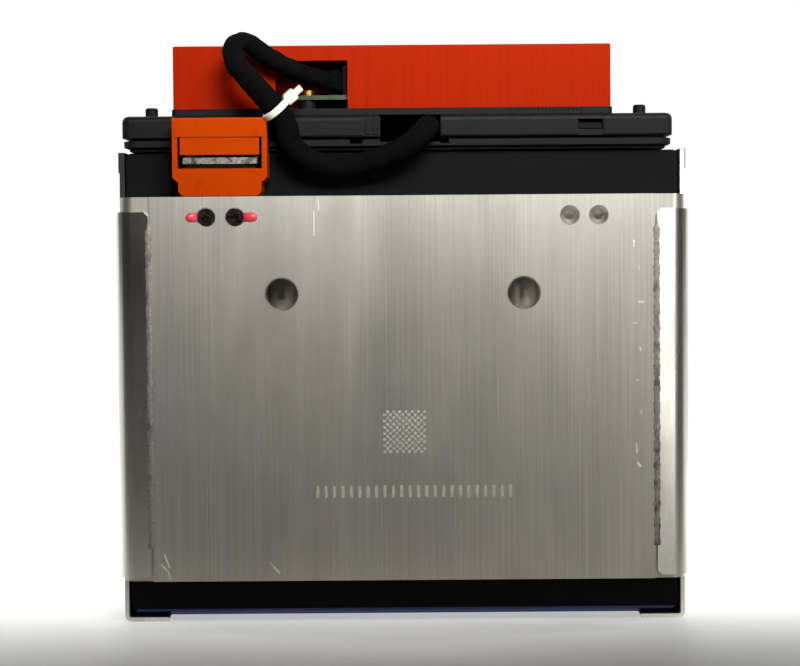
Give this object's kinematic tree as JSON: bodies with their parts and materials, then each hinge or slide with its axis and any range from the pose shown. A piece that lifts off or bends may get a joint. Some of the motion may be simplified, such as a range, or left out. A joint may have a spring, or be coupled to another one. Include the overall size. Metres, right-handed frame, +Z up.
{
  "type": "ev battery module",
  "caption": "Rectangular traction battery module: prismatic cells between extruded end plates and folded side plates, with top cover, terminal caps, monitor box and wiring loop.",
  "frame": {"origin": "on the floor under the middle of the module", "axes": "+Z up, +Y along the row of cells away from the end with the wiring loop, +X to the right seen from that end"},
  "size_m": [0.2058, 0.4593, 0.2137],
  "materials": {
    "cell_wrap": "thin blue film over an aluminium can, satin",
    "pad_foam": "pale compressible foam sheet, matte",
    "insulator_black": "black moulded plastic, matte",
    "end_plate_aluminium": "mill-finish extrusion with fine vertical die lines",
    "side_plate_aluminium": "rolled sheet, bare, satin",
    "side_film": "thin dark insulating film",
    "weld_metal": "rough grey laser weld",
    "carrier_black": "black moulded plastic, matte",
    "link_aluminium": "bare pressed strip",
    "tinned_copper": "tin-plated copper bar, bright satin",
    "flex_amber": "polyimide flexible circuit",
    "socket_black": "black moulded socket",
    "cover_black": "black moulded cover, fine grain",
    "base_black": "black moulded terminal base",
    "nut_steel": "zinc-plated steel",
    "screw_dark": "dark oxide steel screws",
    "cap_orange": "orange moulded plastic, satin",
    "tray_black": "black moulded tray",
    "board_green": "green solder mask over glass laminate",
    "board_screw_brass": "brass screws",
    "chip_black": "black component bodies",
    "monitor_red": "red plastic cover with fine upright striations",
    "plug_black": "black moulded plug",
    "harness_tape": "black cloth-taped wiring",
    "tie_white": "natural white nylon"
  },
  "bodies": {
    "root": {"cell_01": "cell_wrap", "cell_02": "cell_wrap", "cell_03": "cell_wrap", "cell_04": "cell_wrap", "cell_05": "cell_wrap", "cell_06": "cell_wrap", "cell_07": "cell_wrap", "cell_08": "cell_wrap", "cell_09": "cell_wrap", "cell_10": "cell_wrap", "cell_11": "cell_wrap", "cell_12": "cell_wrap", "cell_link_01": "link_aluminium", "cell_link_02": "link_aluminium", "cell_link_03": "link_aluminium", "cell_link_04": "link_aluminium", "cell_link_05": "link_aluminium", "cell_link_06": "link_aluminium", "cell_link_07": "link_aluminium", "cell_link_08": "link_aluminium", "cell_link_09": "link_aluminium", "cell_link_10": "link_aluminium", "cell_link_11": "link_aluminium", "cell_pads": "pad_foam", "end_insulator_front": "insulator_black", "end_insulator_rear": "insulator_black", "end_plate_front": "end_plate_aluminium", "end_plate_rear": "end_plate_aluminium", "side_plate_left": "side_plate_aluminium", "side_plate_right": "side_plate_aluminium", "side_film_left": "side_film", "side_film_right": "side_film", "weld_seams": "weld_metal", "busbar_carrier": "carrier_black", "output_busbar_front": "tinned_copper", "output_busbar_rear": "tinned_copper", "sensing_flex": "flex_amber", "sensing_socket": "socket_black", "top_cover": "cover_black", "terminal_base_front": "base_black", "terminal_base_rear": "base_black", "terminal_nuts": "nut_steel", "terminal_screws": "screw_dark", "terminal_cap_front": "cap_orange", "terminal_cap_rear": "cap_orange", "monitor_tray": "tray_black", "monitor_board": "board_green", "board_screws": "board_screw_brass", "board_chips": "chip_black", "monitor_socket": "socket_black", "monitor_cover": "monitor_red", "harness_plug": "plug_black", "harness": "harness_tape", "cable_tie": "tie_white"}
  },
  "joints": []
}
